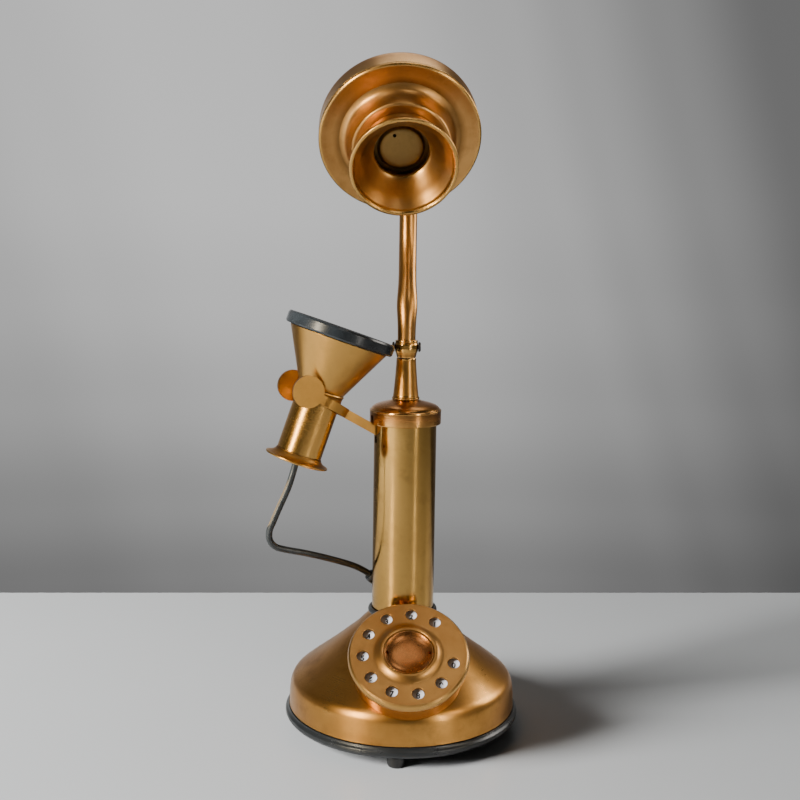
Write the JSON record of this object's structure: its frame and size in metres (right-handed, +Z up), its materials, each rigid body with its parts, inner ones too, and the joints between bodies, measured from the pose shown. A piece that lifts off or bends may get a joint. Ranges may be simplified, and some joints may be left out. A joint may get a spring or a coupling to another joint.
{
  "type": "candlestick telephone",
  "caption": "Upright brass desk-stand telephone: round weighted base with a rotary dial, column with a hook for the hanging receiver, and a tilting transmitter on a curved arm.",
  "frame": {"origin": "middle of the stand's footprint on the table, cord left out", "axes": "+Z up; -Y the front, where the dial and the mouthpiece face; +X the right-hand side seen from the front"},
  "size_m": [0.1484, 0.1474, 0.385],
  "materials": {
    "brass": "aged satin polish",
    "column_brass": "duller aged satin",
    "coppery_brass": "polished, coppery",
    "steel": "plain",
    "dark_steel": "blackened",
    "iron": "raw casting",
    "black_rubber": "matte black",
    "black_plastic": "half-gloss black",
    "bakelite": "moulded brown",
    "enamel": "white enamel",
    "copper": "copper winding",
    "carbon": "carbon cell in black moulding"
  },
  "bodies": {
    "stand": {"foot_front": "black_rubber", "foot_right": "black_rubber", "foot_back": "black_rubber", "foot_left": "black_rubber", "base_ring": "black_rubber", "base_plate": "dark_steel", "base_shell": "brass", "ballast_ring": "iron", "base_screw_1": "steel", "base_screw_2": "steel", "base_screw_3": "steel", "terminal_block": "bakelite", "induction_coil": "copper", "column_gasket": "black_rubber", "column_tube": "column_brass", "column_nut": "steel", "column_cap": "coppery_brass", "neck": "brass", "neck_nut": "steel", "arm_collar": "brass", "collar_screw_right": "dark_steel", "collar_screw_left": "dark_steel", "cord_ferrule": "black_rubber", "hook_bracket": "steel", "hook_pivot_pin": "dark_steel", "hook_spring": "steel", "switch_contacts": "copper", "dial_cup": "brass", "dial_stud": "steel", "dial_nut": "steel", "dial_frame": "steel", "number_plate": "enamel", "dial_return_spring": "dark_steel", "pulse_contacts": "bakelite", "receiver_cord": "black_rubber"},
    "wheel": {"finger_wheel": "brass", "dial_centre_cap": "coppery_brass", "dial_shaft": "steel", "dial_drive_gear": "column_brass"},
    "governor": {"governor_pinion": "steel"},
    "hook": {"hook_lever": "brass"},
    "receiver": {"receiver_flange": "brass", "receiver_barrel": "brass", "receiver_neck": "brass", "receiver_cone": "brass", "ear_cap": "black_plastic", "receiver_diaphragm": "steel", "receiver_magnet": "dark_steel", "receiver_coil": "copper", "cord_bush": "black_rubber"},
    "arm": {"arm_rod": "brass"},
    "transmitter": {"transmitter_shell": "brass", "transmitter_face": "brass", "mouthpiece": "brass", "mouth_grille": "column_brass", "transmitter_diaphragm": "steel", "carbon_capsule": "carbon", "head_lug": "brass", "tilt_screw": "dark_steel", "tilt_nut": "dark_steel"}
  },
  "joints": [
    {"name": "dial_turn", "type": "hinge", "parent": "stand", "child": "wheel", "pos_m": [0.0082, -0.0478, 0.0607], "axis": [0, 0.6018, -0.7986], "range_deg": [0, 325], "stiffness_Nm_per_rad": 0.005, "springref_deg": -85.94},
    {"name": "governor_spin", "type": "hinge", "parent": "stand", "child": "governor", "pos_m": [-0.014, -0.04944, 0.04945], "axis": [0, 0.6018, -0.7986], "range_deg": [-1301, 0]},
    {"name": "receiver_lift", "type": "slide", "parent": "stand", "child": "receiver", "axis": [-0.3002, -0.1101, 0.9475], "range_m": [0, 0.025], "deforming": ["receiver_cord"]},
    {"name": "hook_rise", "type": "hinge", "parent": "stand", "child": "hook", "pos_m": [0.0047, 0.0042, 0.1675], "axis": [-0.3633, 0.9317, 0], "range_deg": [0, 5], "deforming": ["hook_spring"]},
    {"name": "arm_swivel", "type": "hinge", "parent": "stand", "child": "arm", "pos_m": [0.0047, 0.0042, 0.226], "axis": [0, 0, 1], "range_deg": [-45, 45]},
    {"name": "transmitter_tilt", "type": "hinge", "parent": "arm", "child": "transmitter", "pos_m": [0.0047, 0.0102, 0.3474], "axis": [0.9959, 0.0906, 0], "range_deg": [-25, 5]}
  ],
  "couplings": [
    {"joint": "governor_spin", "follows": "dial_turn", "ratio": -4},
    {"joint": "hook_rise", "follows": "receiver_lift", "rad_per_m": 3.45}
  ]
}
